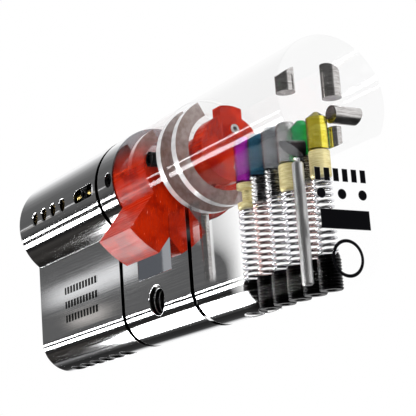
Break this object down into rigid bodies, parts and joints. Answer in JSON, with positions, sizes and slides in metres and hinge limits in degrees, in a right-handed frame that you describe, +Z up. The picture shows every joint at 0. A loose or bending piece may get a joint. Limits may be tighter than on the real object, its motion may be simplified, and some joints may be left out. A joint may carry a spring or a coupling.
{
  "type": "euro profile double cylinder",
  "caption": "Euro profile double cylinder lock with turning plugs, coloured pin stacks, sprung drivers, clutch and a red cam between two polished halves.",
  "frame": {"origin": "centre of the fixing screw hole, in the middle of the tail's width and halfway along the cylinder", "axes": "+X along the cylinder to the outside face, +Y along the fixing screw hole, +Z up from the tail to the barrel"},
  "size_m": [0.08, 0.0198, 0.033],
  "materials": {
    "polished_case": "polished",
    "plug_chrome": "polished",
    "red_drive": "gloss",
    "red_cam": "gloss",
    "clip_steel": "satin",
    "hard_steel": "ground",
    "satin_steel": "satin",
    "spring_steel": "polished",
    "pin_magenta": "anodised",
    "pin_navy": "anodised",
    "pin_grey": "polished",
    "pin_silver": "polished",
    "pin_green": "anodised",
    "pin_yellow": "anodised",
    "pin_brass": "turned",
    "pin_steel": "turned",
    "gold_spring": "polished",
    "black_steel": "blackened"
  },
  "bodies": {
    "housing": {"housing": "polished_case", "outer_clip_a": "clip_steel", "outer_clip_b": "clip_steel", "inner_clip_a": "clip_steel", "inner_clip_b": "clip_steel", "outer_spring_1": "spring_steel", "outer_spring_2": "spring_steel", "outer_spring_3": "spring_steel", "outer_spring_4": "spring_steel", "outer_spring_5": "spring_steel", "outer_spring_6": "spring_steel", "outer_grub_screws": "black_steel", "inner_springs": "spring_steel", "inner_grub_screws": "black_steel", "outer_brake_cap": "black_steel", "outer_brake_spring": "gold_spring", "inner_brake_cap": "black_steel", "inner_brake_spring": "gold_spring", "tail_rod": "satin_steel", "slanted_pin": "hard_steel", "tail_pin": "satin_steel", "side_pins": "gold_spring", "slot_bar": "black_steel", "slot_springs": "gold_spring"},
    "outer_plug": {"outer_plug": "plug_chrome", "outer_drive": "red_drive", "outer_drive_screws": "clip_steel", "drill_pin_front": "hard_steel", "drill_pin_back": "hard_steel", "drill_pin_cross": "hard_steel", "drill_pin_low": "hard_steel"},
    "inner_plug": {"inner_plug": "plug_chrome", "inner_drive": "red_drive"},
    "cam": {"cam": "red_cam", "cam_ring": "clip_steel"},
    "clutch": {"clutch": "pin_brass"},
    "outer_key_pin_1": {"outer_key_pin_1": "pin_magenta"},
    "outer_key_pin_2": {"outer_key_pin_2": "pin_navy"},
    "outer_key_pin_3": {"outer_key_pin_3": "pin_grey"},
    "outer_key_pin_4": {"outer_key_pin_4": "pin_silver"},
    "outer_key_pin_5": {"outer_key_pin_5": "pin_green"},
    "outer_key_pin_6": {"outer_key_pin_6": "pin_yellow"},
    "outer_driver_1": {"outer_driver_1": "pin_brass"},
    "outer_driver_2": {"outer_driver_2": "pin_steel"},
    "outer_driver_3": {"outer_driver_3": "pin_steel"},
    "outer_driver_4": {"outer_driver_4": "pin_brass"},
    "outer_driver_5": {"outer_driver_5": "pin_steel"},
    "outer_driver_6": {"outer_driver_6": "pin_brass"},
    "inner_key_pin_1": {"inner_key_pin_1": "pin_brass"},
    "inner_key_pin_2": {"inner_key_pin_2": "pin_brass"},
    "inner_key_pin_3": {"inner_key_pin_3": "pin_brass"},
    "inner_key_pin_4": {"inner_key_pin_4": "pin_brass"},
    "inner_key_pin_5": {"inner_key_pin_5": "pin_brass"},
    "inner_key_pin_6": {"inner_key_pin_6": "pin_brass"},
    "inner_driver_1": {"inner_driver_1": "pin_brass"},
    "inner_driver_2": {"inner_driver_2": "pin_steel"},
    "inner_driver_3": {"inner_driver_3": "pin_steel"},
    "inner_driver_4": {"inner_driver_4": "pin_brass"},
    "inner_driver_5": {"inner_driver_5": "pin_steel"},
    "inner_driver_6": {"inner_driver_6": "pin_brass"}
  },
  "joints": [
    {"name": "outer_plug_turn", "type": "hinge", "parent": "housing", "child": "outer_plug", "pos_m": [0.02, 0, 0.0194], "axis": [1, 0, 0], "continuous": true},
    {"name": "cam_turn", "type": "hinge", "parent": "housing", "child": "cam", "pos_m": [0, 0, 0.0194], "axis": [1, 0, 0], "continuous": true},
    {"name": "inner_plug_turn", "type": "hinge", "parent": "housing", "child": "inner_plug", "pos_m": [-0.02, 0, 0.0194], "axis": [1, 0, 0], "continuous": true},
    {"name": "clutch_slide", "type": "slide", "parent": "cam", "child": "clutch", "axis": [1, 0, 0], "range_m": [-0.0011, 0]},
    {"name": "outer_key_pin_1_lift", "type": "slide", "parent": "outer_plug", "child": "outer_key_pin_1", "axis": [0, 0, 1], "range_m": [0, 0.0012]},
    {"name": "outer_key_pin_2_lift", "type": "slide", "parent": "outer_plug", "child": "outer_key_pin_2", "axis": [0, 0, 1], "range_m": [0, 0.0012]},
    {"name": "outer_key_pin_3_lift", "type": "slide", "parent": "outer_plug", "child": "outer_key_pin_3", "axis": [0, 0, 1], "range_m": [0, 0.0012]},
    {"name": "outer_key_pin_4_lift", "type": "slide", "parent": "outer_plug", "child": "outer_key_pin_4", "axis": [0, 0, 1], "range_m": [0, 0.0012]},
    {"name": "outer_key_pin_5_lift", "type": "slide", "parent": "outer_plug", "child": "outer_key_pin_5", "axis": [0, 0, 1], "range_m": [0, 0.0012]},
    {"name": "outer_key_pin_6_lift", "type": "slide", "parent": "outer_plug", "child": "outer_key_pin_6", "axis": [0, 0, 1], "range_m": [0, 0.0012]},
    {"name": "outer_driver_1_press", "type": "slide", "parent": "housing", "child": "outer_driver_1", "axis": [0, 0, 1], "range_m": [-0.0015, 0], "stiffness_N_per_m": 20, "springref_m": 0.0005, "deforming": ["outer_spring_1"]},
    {"name": "outer_driver_2_press", "type": "slide", "parent": "housing", "child": "outer_driver_2", "axis": [0, 0, 1], "range_m": [-0.0015, 0], "stiffness_N_per_m": 20, "springref_m": 0.0005, "deforming": ["outer_spring_2"]},
    {"name": "outer_driver_3_press", "type": "slide", "parent": "housing", "child": "outer_driver_3", "axis": [0, 0, 1], "range_m": [-0.0015, 0], "stiffness_N_per_m": 20, "springref_m": 0.0005, "deforming": ["outer_spring_3"]},
    {"name": "outer_driver_4_press", "type": "slide", "parent": "housing", "child": "outer_driver_4", "axis": [0, 0, 1], "range_m": [-0.0015, 0], "stiffness_N_per_m": 20, "springref_m": 0.0005, "deforming": ["outer_spring_4"]},
    {"name": "outer_driver_5_press", "type": "slide", "parent": "housing", "child": "outer_driver_5", "axis": [0, 0, 1], "range_m": [-0.0015, 0], "stiffness_N_per_m": 20, "springref_m": 0.0005, "deforming": ["outer_spring_5"]},
    {"name": "outer_driver_6_press", "type": "slide", "parent": "housing", "child": "outer_driver_6", "axis": [0, 0, 1], "range_m": [-0.0015, 0], "stiffness_N_per_m": 20, "springref_m": 0.0005, "deforming": ["outer_spring_6"]},
    {"name": "inner_key_pin_1_lift", "type": "slide", "parent": "inner_plug", "child": "inner_key_pin_1", "axis": [0, 0, 1], "range_m": [0, 0.0012]},
    {"name": "inner_key_pin_2_lift", "type": "slide", "parent": "inner_plug", "child": "inner_key_pin_2", "axis": [0, 0, 1], "range_m": [0, 0.0012]},
    {"name": "inner_key_pin_3_lift", "type": "slide", "parent": "inner_plug", "child": "inner_key_pin_3", "axis": [0, 0, 1], "range_m": [0, 0.0012]},
    {"name": "inner_key_pin_4_lift", "type": "slide", "parent": "inner_plug", "child": "inner_key_pin_4", "axis": [0, 0, 1], "range_m": [0, 0.0012]},
    {"name": "inner_key_pin_5_lift", "type": "slide", "parent": "inner_plug", "child": "inner_key_pin_5", "axis": [0, 0, 1], "range_m": [0, 0.0012]},
    {"name": "inner_key_pin_6_lift", "type": "slide", "parent": "inner_plug", "child": "inner_key_pin_6", "axis": [0, 0, 1], "range_m": [0, 0.0012]},
    {"name": "inner_driver_1_press", "type": "slide", "parent": "housing", "child": "inner_driver_1", "axis": [0, 0, 1], "range_m": [-0.0015, 0], "stiffness_N_per_m": 20, "springref_m": 0.0005, "deforming": ["inner_springs"]},
    {"name": "inner_driver_2_press", "type": "slide", "parent": "housing", "child": "inner_driver_2", "axis": [0, 0, 1], "range_m": [-0.0015, 0], "stiffness_N_per_m": 20, "springref_m": 0.0005, "deforming": ["inner_springs"]},
    {"name": "inner_driver_3_press", "type": "slide", "parent": "housing", "child": "inner_driver_3", "axis": [0, 0, 1], "range_m": [-0.0015, 0], "stiffness_N_per_m": 20, "springref_m": 0.0005, "deforming": ["inner_springs"]},
    {"name": "inner_driver_4_press", "type": "slide", "parent": "housing", "child": "inner_driver_4", "axis": [0, 0, 1], "range_m": [-0.0015, 0], "stiffness_N_per_m": 20, "springref_m": 0.0005, "deforming": ["inner_springs"]},
    {"name": "inner_driver_5_press", "type": "slide", "parent": "housing", "child": "inner_driver_5", "axis": [0, 0, 1], "range_m": [-0.0015, 0], "stiffness_N_per_m": 20, "springref_m": 0.0005, "deforming": ["inner_springs"]},
    {"name": "inner_driver_6_press", "type": "slide", "parent": "housing", "child": "inner_driver_6", "axis": [0, 0, 1], "range_m": [-0.0015, 0], "stiffness_N_per_m": 20, "springref_m": 0.0005, "deforming": ["inner_springs"]}
  ],
  "couplings": [
    {"joint": "cam_turn", "follows": "outer_plug_turn", "ratio": 1}
  ]
}
